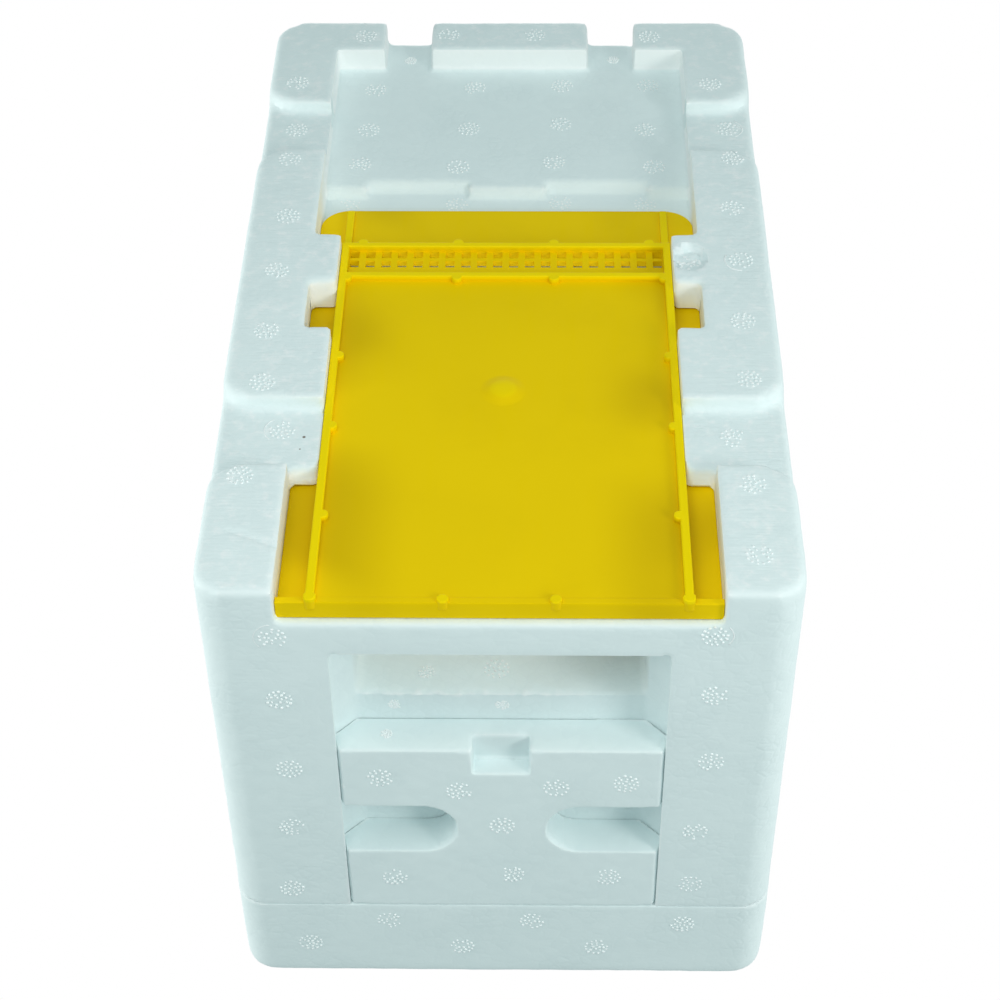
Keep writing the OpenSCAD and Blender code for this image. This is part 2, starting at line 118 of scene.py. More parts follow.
def lamp(name, place, size, level_share, tint, aim=AIM):
    """A lamp of width and depth that lights a surface facing it at level_share of its written colour."""
    data = bpy.data.lights.new(name, "AREA")
    data.shape = "RECTANGLE"
    data.size, data.size_y = size
    reach = aim - Vector(place)
    data.energy = FULL_LEVEL * reach.length_squared * level_share
    data.color = tint
    made = bpy.data.objects.new(name, data)
    made.location = place
    made.rotation_mode = "QUATERNION"
    made.rotation_quaternion = reach.to_track_quat("-Z", "Y")
    made.visible_camera = False
    scene.collection.objects.link(made)


def seen_directly(nodes, links):
    """1 where the eye, a reflection or glass sees the surface, 0 where it only gives light."""
    path = nodes.new("ShaderNodeLightPath")
    last = path.outputs["Is Camera Ray"]
    for ray in ("Is Glossy Ray", "Is Transmission Ray"):
        either = nodes.new("ShaderNodeMath")
        either.operation = "MAXIMUM"
        links.new(last, either.inputs[0])
        links.new(path.outputs[ray], either.inputs[1])
        last = either.outputs[0]
    return last


SILL = Vector((-0.006, -0.108, 0.1067))
GRILLE = Vector((0, 0.0125, 0.1455))
lamp("key_right", (0.56, -0.56, 0.44), (0.22, 0.22), 0.26, WARM)
lamp("top_soft", (-0.06, -0.30, 0.54), (0.30, 0.30), 0.252, FAINTLY_WARM)
lamp("top_near", (-0.01, -0.06, 0.40), (0.24, 0.24), 0.07, FAINTLY_WARM)
lamp("rim_left", (-0.90, -0.07, 0.06), (0.46, 0.24), 0.46, WARM)
lamp("wide_left", (-0.90, -0.45, 0.10), (0.30, 0.24), 0.084, WARM)
lamp("rim_right", (0.90, -0.14, 0.06), (0.46, 0.24), 0.26, WARM)
lamp("back_low", (0.0, 0.80, 0.12), (0.40, 0.16), 0.27, LOW_WARM)
lamp("through_slide", (-0.006, -0.088, 0.131), (0.062, 0.012), 0.48, THROUGH_YELLOW, SILL)
lamp("through_grille", (0, 0, 0.1405), (0.085, 0.006), 1.5, THROUGH_HOLES, GRILLE)

sky = bpy.data.worlds.new("studio_sky")
sky.use_nodes = True
scene.world = sky
tree = sky.node_tree
tree.nodes.clear()
sky_out = tree.nodes.new("ShaderNodeOutputWorld")
sky_light = tree.nodes.new("ShaderNodeBackground")
sky_light.inputs["Color"].default_value = SKY_TINT
sky_light.inputs["Strength"].default_value = SKY_LEVEL
sky_white = tree.nodes.new("ShaderNodeBackground")
sky_white.inputs["Color"].default_value = (1, 1, 1, 1)
sky_white.inputs["Strength"].default_value = 1.0
sky_mix = tree.nodes.new("ShaderNodeMixShader")
tree.links.new(seen_directly(tree.nodes, tree.links), sky_mix.inputs["Fac"])
tree.links.new(sky_light.outputs[0], sky_mix.inputs[1])
tree.links.new(sky_white.outputs[0], sky_mix.inputs[2])
tree.links.new(sky_mix.outputs[0], sky_out.inputs["Surface"])
scene.view_settings.view_transform = "Standard"

# %% [markdown]
# Several finishes share the same effects, so each effect is a shader node group with named sockets,
# built once. Every node could be made and linked by hand each time, but that hides what a finish does.
# So the usual steps are short helpers: an empty group, a math node, a product of masks, a smooth step, a
# mix of two colours, a texture, and the three parts of a vector.

# %% Helpers for node trees


def new_group(name, inputs, outputs):
    """An empty shader group with its sockets, and the nodes at its two ends."""
    group = bpy.data.node_groups.new(name, "ShaderNodeTree")
    for label, kind, value in inputs:
        socket = group.interface.new_socket(label, in_out="INPUT", socket_type="NodeSocket" + kind)
        socket.default_value = value
    for label, kind in outputs:
        group.interface.new_socket(label, in_out="OUTPUT", socket_type="NodeSocket" + kind)
    start = group.nodes.new("NodeGroupInput")
    end = group.nodes.new("NodeGroupOutput")
    return group, start, end


def math_node(tree, operation, first, second):
    """A math node whose inputs are sockets or plain numbers."""
    node = tree.nodes.new("ShaderNodeMath")
    node.operation = operation
    for socket, value in zip(node.inputs, (first, second)):
        if isinstance(value, (int, float)):
            socket.default_value = value
        else:
            tree.links.new(value, socket)
    return node.outputs[0]


def all_of(tree, mask, *others):
    """The product of several masks."""
    for other in others:
        mask = math_node(tree, "MULTIPLY", mask, other)
    return mask


def ramp(tree, value, low, high, to_low=0.0, to_high=1.0):
    """A smooth step from low to high."""
    node = tree.nodes.new("ShaderNodeMapRange")
    node.interpolation_type = "SMOOTHSTEP"
    node.inputs["From Min"].default_value = low
    node.inputs["From Max"].default_value = high
    node.inputs["To Min"].default_value = to_low
    node.inputs["To Max"].default_value = to_high
    tree.links.new(value, node.inputs["Value"])
    return node.outputs["Result"]


def mix_colour(tree, factor, first, second):
    """A mix of two colours, which are sockets or tuples."""
    node = tree.nodes.new("ShaderNodeMix")
    node.data_type = "RGBA"
    tree.links.new(factor, node.inputs["Factor"])
    for socket, value in zip((node.inputs[6], node.inputs[7]), (first, second)):
        if isinstance(value, tuple):
            socket.default_value = value
        else:
            tree.links.new(value, socket)
    return node.outputs[2]


def texture(tree, kind, place, **values):
    """A texture node with its coordinates linked and its sockets set."""
    node = tree.nodes.new("ShaderNodeTex" + kind)
    tree.links.new(place, node.inputs["Vector"])
    for label, value in values.items():
        socket = node.inputs[label.replace("_", " ")]
        if isinstance(value, (int, float)):
            socket.default_value = value
        else:
            tree.links.new(value, socket)
    return node


def split_axes(tree, vector):
    """The x, y and z of a vector."""
    node = tree.nodes.new("ShaderNodeSeparateXYZ")
    tree.links.new(vector, node.inputs[0])
    return node.outputs


print("node helpers ready")

# %% [markdown]
# The first group is the skin of expanded beads: flattened cells about 3 mm wide, with faint seams
# between them. A Voronoi texture is that pattern by nature, so no picture is needed. A slow noise makes
# the seams come and go.

# %% Node group for the bead skin
SEAM_WIDTH = 0.09
BULGE_WIDTH = 0.22
bead_skin, start, end = new_group(
    "bead_skin",
    [("Foam", "Color", (0.8, 0.9, 0.9, 1)), ("Seam", "Color", (0.6, 0.7, 0.7, 1)),
     ("Beads per Metre", "Float", 330.0), ("Seam Strength", "Float", 0.3)],
    [("Color", "Color"), ("Height", "Float")])
place = bead_skin.nodes.new("ShaderNodeTexCoord").outputs["Object"]
cells = texture(bead_skin, "Voronoi", place, Scale=start.outputs["Beads per Metre"])
edges = bead_skin.nodes.new("ShaderNodeTexVoronoi")
edges.feature = "DISTANCE_TO_EDGE"
bead_skin.links.new(place, edges.inputs["Vector"])
bead_skin.links.new(start.outputs["Beads per Metre"], edges.inputs["Scale"])
split = bead_skin.nodes.new("ShaderNodeSeparateColor")
bead_skin.links.new(cells.outputs["Color"], split.inputs["Color"])
patches = texture(bead_skin, "Noise", place, Scale=60.0, Detail=3.0)
seam = all_of(bead_skin, ramp(bead_skin, edges.outputs["Distance"], 0.0, SEAM_WIDTH, 1.0, 0.0),
              start.outputs["Seam Strength"],
              ramp(bead_skin, patches.outputs["Fac"], 0.42, 0.66))
shade = math_node(bead_skin, "MULTIPLY", split.outputs["Red"], 0.10)
mottle = ramp(bead_skin, patches.outputs["Fac"], 0.35, 0.75, 0.0, 0.10)
toned = mix_colour(bead_skin, math_node(bead_skin, "ADD", shade, mottle),
                   start.outputs["Foam"], start.outputs["Seam"])
toned = mix_colour(bead_skin, seam, toned, start.outputs["Seam"])
grain = texture(bead_skin, "Noise", place, Scale=900.0, Detail=2.0)
bulge = all_of(bead_skin, ramp(bead_skin, edges.outputs["Distance"], 0.0, BULGE_WIDTH),
               ramp(bead_skin, patches.outputs["Fac"], 0.3, 0.7, 0.2, 1.0))
bulge = math_node(bead_skin, "ADD", bulge, math_node(bead_skin, "MULTIPLY", grain.outputs["Fac"], 0.5))
bead_skin.links.new(toned, end.inputs["Color"])
bead_skin.links.new(bulge, end.inputs["Height"])
print("group", bead_skin.name, "sockets", len(bead_skin.interface.items_tree))

# %% [markdown]
# Everything that is handled picks up smudges and fine scuffs. Smudges are slow noise with a soft
# threshold. Scuffs are noise that is stretched along one direction, so that it breaks into short lines.

# %% Node groups for smudges and scuffs
smudges, start, end = new_group(
    "smudges",
    [("Base", "Color", (0.8, 0.8, 0.8, 1)), ("Smudge", "Color", (0.5, 0.5, 0.5, 1)),
     ("Scale", "Float", 25.0), ("Amount", "Float", 0.2)],
    [("Color", "Color"), ("Mask", "Float")])
place = smudges.nodes.new("ShaderNodeTexCoord").outputs["Object"]
cloud = texture(smudges, "Noise", place, Scale=start.outputs["Scale"], Detail=5.0, Roughness=0.6)
mask = math_node(smudges, "MULTIPLY", ramp(smudges, cloud.outputs["Fac"], 0.45, 0.8),
                 start.outputs["Amount"])
smudges.links.new(mix_colour(smudges, mask, start.outputs["Base"], start.outputs["Smudge"]),
                  end.inputs["Color"])
smudges.links.new(mask, end.inputs["Mask"])

scuffs, start, end = new_group(
    "scuffs",
    [("Stretch", "Vector", (60.0, 900.0, 900.0)), ("Roughness", "Float", 0.4),
     ("Spread", "Float", 0.15)],
    [("Roughness", "Float"), ("Height", "Float")])
place = scuffs.nodes.new("ShaderNodeTexCoord").outputs["Object"]
drawn = scuffs.nodes.new("ShaderNodeVectorMath")
drawn.operation = "MULTIPLY"
scuffs.links.new(place, drawn.inputs[0])
scuffs.links.new(start.outputs["Stretch"], drawn.inputs[1])
lines = texture(scuffs, "Noise", drawn.outputs[0], Scale=1.0, Detail=3.0)
mark = ramp(scuffs, lines.outputs["Fac"], 0.5, 0.72)
rough = math_node(scuffs, "ADD", start.outputs["Roughness"],
                  math_node(scuffs, "MULTIPLY", mark, start.outputs["Spread"]))
scuffs.links.new(rough, end.inputs["Roughness"])
scuffs.links.new(lines.outputs["Fac"], end.inputs["Height"])
print("groups", smudges.name, scuffs.name)

# %% [markdown]
# A finish is a material around its Principled shader. The groups are placed in it with their own values,
# and a bump turns their heights into fine relief. True displacement would need far more faces for
# relief that is finer than a tenth of a millimetre.

# %% Helpers for finishes


def new_finish(name):
    """A material with its tree and its shader."""
    finish = bpy.data.materials.new(name)
    finish.use_nodes = True
    return finish, finish.node_tree, finish.node_tree.nodes["Principled BSDF"]


def use_group(tree, group, **values):
    """A group placed in a material, with its sockets set or linked."""
    node = tree.nodes.new("ShaderNodeGroup")
    node.node_tree = group
    for label, value in values.items():
        socket = node.inputs[label.replace("_", " ")]
        if isinstance(value, bpy.types.NodeSocket):
            tree.links.new(value, socket)
        else:
            socket.default_value = value
    return node


def bump(tree, shader, height, strength, distance):
    """A bump from a height to the shader's normal."""
    node = tree.nodes.new("ShaderNodeBump")
    node.inputs["Strength"].default_value = strength
    node.inputs["Distance"].default_value = distance
    tree.links.new(height, node.inputs["Height"])
    tree.links.new(node.outputs["Normal"], shader.inputs["Normal"])


print("finish helpers ready")

# %% [markdown]
# The foam is white with a cool cast and no gloss. Its colour comes from the bead skin, then the
# smudges. The upright walls of the slide's channel get painted light, as if light shone through the
# thin foam, the outer edges get a painted highlight, and the feet are flecked and scored from standing.
# The beads and the fine streaks from the mould feed a bump, which is weaker on the smooth door. Two
# specks of dirt lie in the left groove of the box.

# %% Foam finish
FEET_Z = 0.1495
CHANNEL_HALF = 0.0545
CHANNEL_Z = 0.1432
CHANNEL_FRONT = -0.1222
CHANNEL_REAR = 0.1215
GROOVE_ENDS = (-0.0545, 0.0792)
EDGE_SOFT = 0.0008
# The channel-wall colour is painted light, as if light shone through the thin foam.
CHANNEL_GLOW = (0.95, 0.985, 0.98, 1)
# The edge colour is a painted highlight on the outer edges, and also the colour of the flecks on the feet.
EDGE_HIGHLIGHT_AND_FLECKS = (0.95, 0.985, 0.985, 1)
SPECKS = (((-0.0501, -0.0654, 0.1505), 0.00055), ((-0.0508, -0.0699, 0.1505), 0.0003))
DIRT = (0.16, 0.13, 0.10, 1)
FOAM_STREAKS = (220.0, 1500.0, 1500.0)
FOAM_RELIEF = 0.00025


def channel_wall_glow(tree, spread, facing):
    """1 on the upright walls of the slide's channel, where light is painted on, 0 elsewhere."""
    sideways = math_node(tree, "ABSOLUTE", spread["X"], 0.0)
    lit_through = all_of(tree, ramp(tree, sideways, CHANNEL_HALF - 0.0005, CHANNEL_HALF, 1.0, 0.0),
                   ramp(tree, spread["Z"], CHANNEL_Z, CHANNEL_Z + EDGE_SOFT),
                   ramp(tree, facing["Z"], 0.3, 0.8, 1.0, 0.0),
                   ramp(tree, spread["Y"], CHANNEL_FRONT, CHANNEL_FRONT + EDGE_SOFT),
                   ramp(tree, spread["Y"], CHANNEL_REAR, CHANNEL_REAR + EDGE_SOFT, 1.0, 0.0))
    for wall in GROOVE_ENDS:
        off_wall = math_node(tree, "SUBTRACT", spread["Y"], wall)
        near = math_node(tree, "ABSOLUTE", off_wall, 0.0)
        lit_through = all_of(tree, lit_through, ramp(tree, near, 0.003, 0.0045))
    return lit_through


def foam_finish(name, colour, seam_colour, seam_strength, relief):
    """Foam with beads, smudges, painted light and highlights, worn feet and specks of dirt."""
    finish, tree, shader = new_finish(name)
    beads = use_group(tree, bead_skin, Foam=colour, Seam=seam_colour, Seam_Strength=seam_strength)
    worn = use_group(tree, smudges, Base=beads.outputs["Color"], Smudge=seam_colour,
                     Scale=38.0, Amount=0.15)
    place = tree.nodes.new("ShaderNodeTexCoord").outputs["Object"]
    form = tree.nodes.new("ShaderNodeNewGeometry")
    spread = split_axes(tree, place)
    facing = split_axes(tree, form.outputs["Normal"])
    # painted light on the upright walls of the channel
    last = mix_colour(tree, channel_wall_glow(tree, spread, facing), worn.outputs["Color"], CHANNEL_GLOW)
    # a painted highlight along the convex outer edges
    edge_highlight = ramp(tree, form.outputs["Pointiness"], 0.51, 0.58, 0.0, 0.6)
    last = mix_colour(tree, edge_highlight, last, EDGE_HIGHLIGHT_AND_FLECKS)
    flecks = use_group(tree, smudges, Base=last, Smudge=EDGE_HIGHLIGHT_AND_FLECKS, Scale=340.0, Amount=0.85)
    stood_on = all_of(tree, ramp(tree, facing["Z"], 0.80, 0.97),
                      ramp(tree, spread["Z"], FEET_Z, FEET_Z + 0.001))
    last = mix_colour(tree, stood_on, last, flecks.outputs["Color"])
    for spot, size in SPECKS:
        apart = tree.nodes.new("ShaderNodeVectorMath")
        apart.operation = "DISTANCE"
        tree.links.new(place, apart.inputs[0])
        apart.inputs[1].default_value = spot
        speck = ramp(tree, apart.outputs["Value"], 0.4 * size, size, 1.0, 0.0)
        last = mix_colour(tree, speck, last, DIRT)
    tree.links.new(last, shader.inputs["Base Color"])
    streaks = use_group(tree, scuffs, Stretch=FOAM_STREAKS)
    scored = all_of(tree, streaks.outputs["Height"], ramp(tree, stood_on, 0.0, 1.0, 1.4, 3.6))
    height = math_node(tree, "ADD", beads.outputs["Height"], scored)
    bump(tree, shader, height, relief, FOAM_RELIEF)
    shader.inputs["Roughness"].default_value = 0.62
    shader.inputs["Specular IOR Level"].default_value = 0.30
    return finish


FOAM_WHITE = (0.82, 0.92, 0.925, 1)
FOAM_SHADE = (0.66, 0.775, 0.79, 1)
# The dots' foam is paler than the rest, a painted highlight on domes that also catch real light.
DOT_HIGHLIGHT_WHITE = (0.91, 0.965, 0.965, 1)
DOT_HIGHLIGHT_SEAM = (0.87, 0.92, 0.92, 1)
foam = foam_finish("foam_white", FOAM_WHITE, FOAM_SHADE, 0.12, 0.20)
smooth_foam = foam_finish("foam_smooth", FOAM_WHITE, FOAM_SHADE, 0.06, 0.11)
vent_foam_highlighted = foam_finish("foam_vent_dots_highlighted", DOT_HIGHLIGHT_WHITE, DOT_HIGHLIGHT_SEAM, 0.1, 0.20)
print("finishes", foam.name, smooth_foam.name, vent_foam_highlighted.name)

# %% [markdown]
# The floor slide and the feeder are injection moulded in the same strong yellow. The plastic is a
# satin one: scuffs vary its gloss, slow noise deepens the colour a little here and there, painted shade
# deepens it most along the side ribs, thin crests and low ridges get painted light as if light shone
# through them, and a low wave in the bump stands for the slight warp of a thin plate.

# %% Yellow plastic
YELLOW_PAINTED_LIGHT = (0.97, 0.735, 0.0, 1)
RIB_SHADE_FROM, RIB_SHADE_TO = 0.020, 0.041
YELLOW_SCUFFS = (500.0, 60.0, 500.0)


def yellow_finish(name, colour, deep, roughness, crest_z, ridge_z):
    """Yellow plastic, painted shade at the sides, painted light above crest_z and on low ridges."""
    finish, tree, shader = new_finish(name)
    place = tree.nodes.new("ShaderNodeTexCoord").outputs["Object"]
    spread = split_axes(tree, place)
    facing = split_axes(tree, tree.nodes.new("ShaderNodeNewGeometry").outputs["Normal"])
    sideways = math_node(tree, "ABSOLUTE", spread["X"], 0.0)
    # painted shade that deepens the colour most along the side ribs, over a faint random tone
    rib_shade_noise = texture(tree, "Noise", place, Scale=26.0, Detail=0.5)
    painted_rib_shade = all_of(tree, ramp(tree, sideways, RIB_SHADE_FROM, RIB_SHADE_TO, 0.10, 0.9),
                    ramp(tree, rib_shade_noise.outputs["Fac"], 0.36, 0.66))
    # deep is the colour of the painted shade here, and of the smudges below.
    toned = mix_colour(tree, painted_rib_shade, colour, deep)
    # painted light on the thin crests and a painted highlight on the low ridges
    lit_crest = ramp(tree, spread["Z"], crest_z, crest_z + EDGE_SOFT)
    off_ridge = math_node(tree, "ABSOLUTE", math_node(tree, "SUBTRACT", spread["Z"], ridge_z), 0.0)
    lit_ridge = all_of(tree, ramp(tree, off_ridge, 0.0002, 0.0005, 1.0, 0.0),
                   ramp(tree, facing["Z"], 0.4, 0.7))
    toned = mix_colour(tree, math_node(tree, "MAXIMUM", lit_crest, lit_ridge), toned, YELLOW_PAINTED_LIGHT)
    worn = use_group(tree, smudges, Base=toned, Smudge=deep, Scale=20.0, Amount=0.25)
    fine = use_group(tree, scuffs, Stretch=YELLOW_SCUFFS, Roughness=roughness, Spread=0.12)
    warp = texture(tree, "Noise", place, Scale=22.0, Detail=1.0)
    height = math_node(tree, "ADD", math_node(tree, "MULTIPLY", fine.outputs["Height"], 0.04),
                       warp.outputs["Fac"])
    tree.links.new(worn.outputs["Color"], shader.inputs["Base Color"])
    tree.links.new(fine.outputs["Roughness"], shader.inputs["Roughness"])
    bump(tree, shader, height, 0.25, 0.001)
    shader.inputs["Specular IOR Level"].default_value = 0.06
    return finish


SLIDE_CREST_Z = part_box("floor_slide")[1].z - 0.0014
SLIDE_RIDGE_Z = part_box("floor_slide")[0].z + 0.0028
FEEDER_CREST_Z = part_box("feeder_tub")[1].z - 0.001
slide_yellow = yellow_finish("slide_yellow", (0.93, 0.645, 0.0, 1), (0.70, 0.47, 0.0, 1), 0.46,
                             SLIDE_CREST_Z, SLIDE_RIDGE_Z)
feeder_yellow = yellow_finish("feeder_yellow", (0.82, 0.61, 0.002, 1), (0.68, 0.48, 0.001, 1), 0.5,
                              FEEDER_CREST_Z, FEEDER_CREST_Z)
print("finishes", slide_yellow.name, feeder_yellow.name)

# %% [markdown]
# The cover sheets are so thin that they hardly bend light, so they are made see-through by alpha, with
# more of it where the haze lies. The nails are plain steel wire, dulled and a little rusty.

# %% Clear sheet and steel
clear_sheet, tree, shader = new_finish("clear_cover")
haze = use_group(tree, smudges, Base=(0.93, 0.97, 0.98, 1), Smudge=(0.80, 0.86, 0.88, 1),
                 Scale=40.0, Amount=0.4)
fine = use_group(tree, scuffs, Stretch=(300.0, 40.0, 300.0), Roughness=0.08, Spread=0.20)
tree.links.new(haze.outputs["Color"], shader.inputs["Base Color"])
tree.links.new(fine.outputs["Roughness"], shader.inputs["Roughness"])
tree.links.new(ramp(tree, haze.outputs["Mask"], 0.0, 0.4, 0.16, 0.34), shader.inputs["Alpha"])

nail_steel, tree, shader = new_finish("nail_steel")
dull = use_group(tree, smudges, Base=(0.56, 0.56, 0.58, 1), Smudge=(0.25, 0.20, 0.16, 1),
                 Scale=300.0, Amount=0.5)
fine = use_group(tree, scuffs, Stretch=(2500.0, 2500.0, 200.0), Roughness=0.32, Spread=0.2)
tree.links.new(dull.outputs["Color"], shader.inputs["Base Color"])
tree.links.new(fine.outputs["Roughness"], shader.inputs["Roughness"])
shader.inputs["Metallic"].default_value = 1.0
print("finishes", clear_sheet.name, nail_steel.name)

# %% [markdown]
# The little frames are sawn softwood. Growth rings cut lengthwise give long streaks, so one noise is
# squeezed across the bar and stretched along it. Side bars run up and down, the others across the
# box, and each direction gets its own stretch. Beeswax is a warm translucent brown.

# %% Wood and wax
EARLY_WOOD = (0.70, 0.52, 0.31, 1)
LATE_WOOD = (0.50, 0.32, 0.15, 1)


def wood_finish(name, stretch):
    """Sawn softwood whose grain is drawn out along the axis with the smallest stretch."""
    finish, tree, shader = new_finish(name)
    place = tree.nodes.new("ShaderNodeTexCoord").outputs["Object"]
    along = tree.nodes.new("ShaderNodeVectorMath")
    along.operation = "MULTIPLY"
    tree.links.new(place, along.inputs[0])
    along.inputs[1].default_value = stretch
    rings = texture(tree, "Noise", along.outputs[0], Scale=1.0, Detail=6.0, Distortion=0.6)
    streak = ramp(tree, rings.outputs["Fac"], 0.32, 0.70)
    grain = mix_colour(tree, streak, EARLY_WOOD, LATE_WOOD)
    worn = use_group(tree, smudges, Base=grain, Smudge=(0.36, 0.22, 0.10, 1), Scale=60.0, Amount=0.35)
    tree.links.new(worn.outputs["Color"], shader.inputs["Base Color"])
    fine = use_group(tree, scuffs, Stretch=stretch, Roughness=0.55, Spread=0.2)
    tree.links.new(fine.outputs["Roughness"], shader.inputs["Roughness"])
    bump(tree, shader, rings.outputs["Fac"], 0.3, 0.0003)
    return finish


wood_across = wood_finish("wood_across", (30.0, 420.0, 420.0))
wood_upright = wood_finish("wood_upright", (420.0, 420.0, 30.0))
beeswax, tree, shader = new_finish("beeswax")
bloom = use_group(tree, smudges, Base=(0.74, 0.47, 0.10, 1), Smudge=(0.86, 0.68, 0.34, 1),
                  Scale=90.0, Amount=0.6)
tree.links.new(bloom.outputs["Color"], shader.inputs["Base Color"])
bump(tree, shader, bloom.outputs["Mask"], 0.2, 0.0003)
shader.inputs["Roughness"].default_value = 0.45
shader.inputs["Subsurface Weight"].default_value = 0.3
shader.inputs["Subsurface Scale"].default_value = 0.001
print("finishes", wood_across.name, wood_upright.name, beeswax.name)

# %% [markdown]
# Moulded foam has no sharp outer edge, while its inner corners stay crisp. A bevel would round both
# kinds of edge evenly and stumble over the curved ledges. Instead the solid is copied, remeshed into
# small even squares, and relaxed only where the surface bulges outwards, so that just the outer
# edges wear round. The parting line between body and lid is held, because it is a thin crisp line.

# %% Helpers for foam pieces
WELD = 0.000002
FLAT = math.radians(0.5)


def plain_copy(node, name):
    """A new object with a welded copy of a solid, its flat faces joined."""
    work = bmesh.new()
    work.from_mesh(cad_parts[node].data)
    bmesh.ops.remove_doubles(work, verts=work.verts, dist=WELD)
    bmesh.ops.dissolve_limit(work, angle_limit=FLAT, verts=work.verts, edges=work.edges)
    points = [v.co.copy() for v in work.verts]
    work.verts.index_update()
    faces = [[v.index for v in f.verts] for f in work.faces]
    work.free()
    mesh = bpy.data.meshes.new(name)
    mesh.from_pydata(points, [], faces)
    piece = bpy.data.objects.new(name, mesh)
    scene.collection.objects.link(piece)
    return piece


def settle(piece):
    """The piece's modifiers become its mesh."""
    graph = bpy.context.evaluated_depsgraph_get()
    mesh = bpy.data.meshes.new_from_object(piece.evaluated_get(graph))
    piece.modifiers.clear()
    piece.data = mesh
    mesh.name = piece.name
    return mesh


def points_of(mesh):
    """All points of a mesh, one row each."""
    flat = np.empty(len(mesh.vertices) * 3)
    mesh.vertices.foreach_get("co", flat)
    return flat.reshape(-1, 3)


def normals_of(mesh):
    """The outward direction at each point."""
    flat = np.empty(len(mesh.vertices) * 3)
    mesh.vertex_normals.foreach_get("vector", flat)
    return flat.reshape(-1, 3)


def put_points(mesh, points):
    """Moves the points of a mesh to new places."""
    mesh.vertices.foreach_set("co", points.ravel())
    mesh.update()


def relax_outer_edges(mesh, passes, weight):
    """Pulls each bulging point towards the middle of its neighbours, weight times half the way."""
    points = points_of(mesh)
    count = len(points)
    pairs = np.empty(len(mesh.edges) * 2, np.int64)
    mesh.edges.foreach_get("vertices", pairs)
    first, second = pairs.reshape(-1, 2).T
    degree = np.bincount(first, minlength=count) + np.bincount(second, minlength=count)
    for _ in range(passes):
        mean = np.stack([np.bincount(first, points[second, k], count)
                         + np.bincount(second, points[first, k], count) for k in range(3)], 1)
        pull = mean / degree[:, None] - points
        inward = (pull * normals_of(mesh)).sum(1) < 0
        points += pull * (0.5 * weight * inward)[:, None]
        put_points(mesh, points)


def uneven(points, size, depth):
    """Slow hills and hollows of the given size and depth, one value per point."""
    return np.array([noise.noise(Vector(p / size)) for p in points]) * depth


def smooth(value, low, high):
    """A smooth step from 0 at low to 1 at high."""
    share = np.clip((value - low) / (high - low), 0, 1)
    return share * share * (3 - 2 * share)


print("mesh helpers ready")

# %% [markdown]
# Each foam piece goes through the same steps: copy, even squares, round outer edges, waves of a tenth of
# a millimetre, its own wear, fewer faces, smooth shading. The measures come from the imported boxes, so
# the looks follow the solids. What differs from piece to piece is handed in as a function of the points.

# %% Steps for a foam piece
VOXEL = 0.9 * MM
SHARP = math.radians(38)
SLOW_WAVE = (0.016, 0.00010)
FINE_WAVE = (0.0032, 0.00008)
PARTING_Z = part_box("roof_lid")[0].z + 32 * MM
TOP_MM = cad_high.z / MM
FRONT_MM = cad_low.y / MM
REAR_MM = cad_high.y / MM


def foam_piece(node, name, body, faces, weight, passes, wear=None, voxel=VOXEL, finish=foam):
    """The rounded foam copy of a solid, with about this many faces."""
    piece = plain_copy(node, name)
    grid = piece.modifiers.new("even_squares", "REMESH")
    grid.mode = "VOXEL"
    grid.voxel_size = voxel
    mesh = settle(piece)
    relax_outer_edges(mesh, passes, weight(points_of(mesh)))
    points = points_of(mesh)
    waves = uneven(points, *SLOW_WAVE) + uneven(points, *FINE_WAVE)
    waves *= smooth(weight(points), 0.0, 0.02)
    put_points(mesh, points + normals_of(mesh) * waves[:, None])
    if wear:
        wear(mesh)
    thin = piece.modifiers.new("fewer_faces", "DECIMATE")
    thin.ratio = min(1.0, faces / (2 * len(mesh.polygons)))
    mesh = settle(piece)
    mesh.shade_smooth()
    mesh.set_sharp_from_angle(angle=SHARP)
    mesh.materials.append(finish)
    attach(piece, body)
    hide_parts(node)
    print(name, "faces", len(mesh.polygons))


def keep_parting(points):
    """0 at the parting line between body and lid, 1 away from it."""
    return smooth(abs(points[:, 2] - PARTING_Z), 0.8 * MM, 2.5 * MM)


print("parting line at", round(PARTING_Z / MM, 1), "front at", round(FRONT_MM, 1))

# %% [markdown]
# The body wears round most along its long outer edges. Besides, the front walls of its ledges lean
# forward, and it has a torn patch on the right ledge, a chipped drain notch, a scratch on the left front
# foot and rough flash along the sill of the bee entrance. These could be painted on, but they catch the
# light and cast small shadows, so the points themselves move. All places here are in millimetres.

# %% Foam body
GROOVE_WALLS = (-78.5, -54.5, 55.2, 79.2)
LEDGE_WALLS = ((-76.5, 150.5, 2.4), (-6.6, 154.5, 1.7))
LEDGE_FOOT = 146.1
TEAR_GRAIN = 0.0016
TORN_X, TORN_Y, TORN_LONG = 50.4, 4.2, 1.25
CHIP_X, CHIP_Y, CHIP_Z = 38.6, 123.5, 147.5
SCRATCH_X, SCRATCH_Y = -64.6, -102.8
SCRATCH_RUN_X, SCRATCH_RUN_Y = 11.2, -5.0
SCRATCH_DEPTH = 0.45
SILL_Y, SILL_Z = -112.5, 106.7
SILL_MIDDLE = -8
FLASH_HEIGHT = 0.7


def body_weight(points):
    """Full rounding along the outer sides, less at the ends and the grooves, hardly any inside."""
    x, y, z = points.T / MM
    front = np.where(abs(x) < 54, 0.25, 0.4)
    share = np.where(y < -119, front, np.where(y > 119, 0.25, 0.02 * (z > 151.5)))
    share = np.where(abs(x) > 66, 1.0, share)
    for wall in GROOVE_WALLS:
        share = np.maximum(share, 0.25 * (abs(y - wall) < 3.5) * (z > 148) * (abs(x) > 54))
    for wall, top, _ in LEDGE_WALLS:
        on_edge = (abs(y - wall) < 3) * (abs(z - top) < 3) * (abs(x) > 45) * (abs(x) < 54)
        share = np.maximum(share, 0.3 * on_edge)
    entrance = (abs(x) < 47) & (z < TOP_MM - 15)
    return keep_parting(points) * np.where(entrance, 0.0, share)


